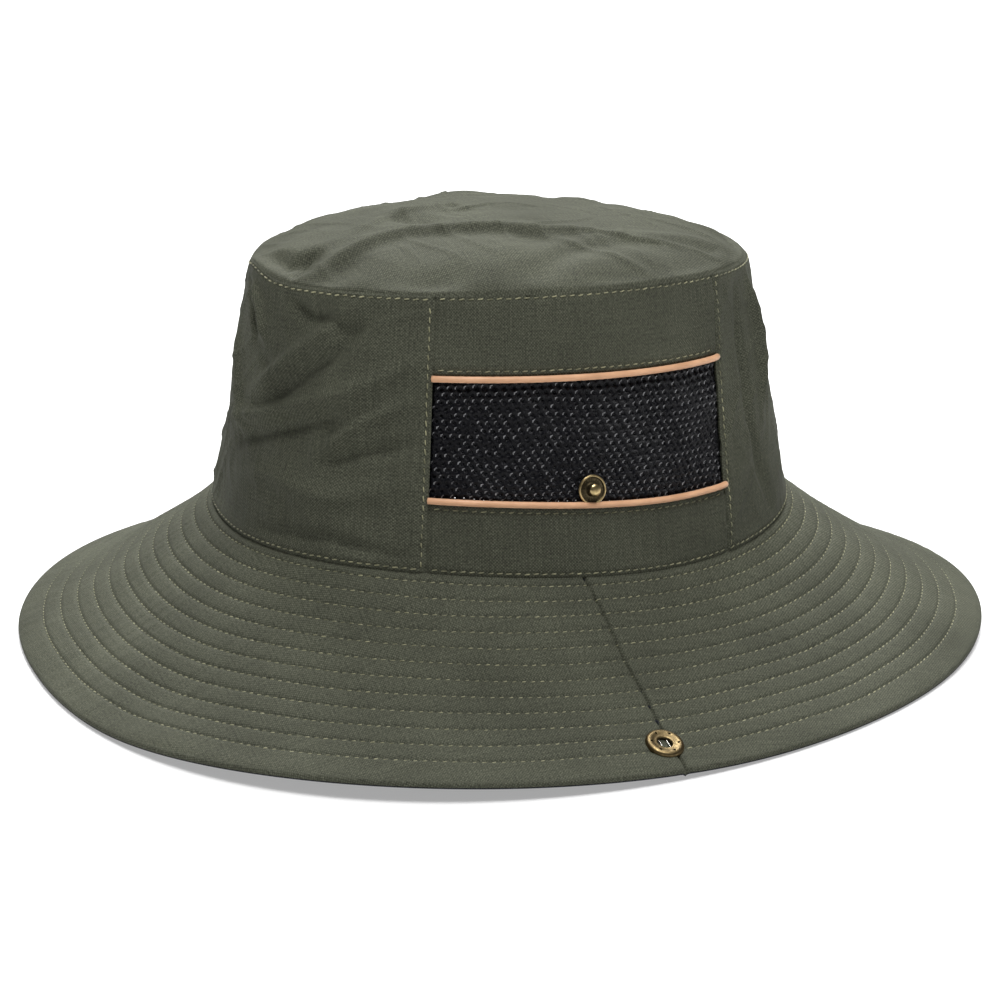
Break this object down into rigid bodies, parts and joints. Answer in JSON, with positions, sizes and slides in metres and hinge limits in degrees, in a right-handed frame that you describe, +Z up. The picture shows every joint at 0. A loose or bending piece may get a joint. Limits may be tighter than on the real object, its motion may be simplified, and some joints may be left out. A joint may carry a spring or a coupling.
{
  "type": "boonie hat",
  "caption": "Soft wide-brim sun hat with mesh vent panels in the crown, a row-stitched stiff brim, and snaps that hold either side of the brim up against the crown.",
  "frame": {"origin": "centre of the brim's outline, on the surface that the brim's edge rests on", "axes": "+Z up, -Y to the front of the hat, +X to the wearer's left"},
  "size_m": [0.3196, 0.3485, 0.1508],
  "materials": {
    "olive_cloth": "matte plain weave",
    "vent_mesh": "knitted mesh",
    "piping": "smooth bias cord",
    "under_cloth": "matte plain weave",
    "stiffener": "nonwoven",
    "lining": "twill tape",
    "antique_brass": "aged satin",
    "bright_brass": "polished",
    "spring_wire": "drawn wire"
  },
  "bodies": {
    "hat": {"front_panel": "olive_cloth", "rear_panel": "olive_cloth", "crown_tip": "olive_cloth", "left_lower_strip": "olive_cloth", "left_upper_strip": "olive_cloth", "right_lower_strip": "olive_cloth", "right_upper_strip": "olive_cloth", "brim_upper_front": "olive_cloth", "brim_upper_rear": "olive_cloth", "left_mesh": "vent_mesh", "left_lower_piping": "piping", "left_upper_piping": "piping", "left_front_seam_tape": "lining", "left_rear_seam_tape": "lining", "left_stud": "bright_brass", "left_stud_post": "antique_brass", "right_mesh": "vent_mesh", "right_lower_piping": "piping", "right_upper_piping": "piping", "right_front_seam_tape": "lining", "right_rear_seam_tape": "lining", "right_stud": "bright_brass", "right_stud_post": "antique_brass", "sweatband": "lining", "tip_seam_tape": "lining", "brim_stiffener": "stiffener", "brim_under_front": "under_cloth", "brim_under_rear": "under_cloth"},
    "left_brim_flap": {"left_flap_upper_front": "olive_cloth", "left_flap_upper_rear": "olive_cloth", "left_flap_stiffener": "stiffener", "left_flap_under_front": "under_cloth", "left_flap_under_rear": "under_cloth", "left_socket": "antique_brass", "left_socket_spring": "spring_wire", "left_cap": "antique_brass"},
    "right_brim_flap": {"right_flap_upper_front": "olive_cloth", "right_flap_upper_rear": "olive_cloth", "right_flap_stiffener": "stiffener", "right_flap_under_front": "under_cloth", "right_flap_under_rear": "under_cloth", "right_socket": "antique_brass", "right_socket_spring": "spring_wire", "right_cap": "antique_brass"}
  },
  "joints": [
    {"name": "left_brim_fold", "type": "hinge", "parent": "hat", "child": "left_brim_flap", "pos_m": [0.1064, 0, 0.0313], "axis": [0, -1, 0], "range_deg": [0, 138], "stiffness_Nm_per_rad": 0.01},
    {"name": "right_brim_fold", "type": "hinge", "parent": "hat", "child": "right_brim_flap", "pos_m": [-0.1064, 0, 0.0313], "axis": [0, 1, 0], "range_deg": [0, 138], "stiffness_Nm_per_rad": 0.01}
  ]
}
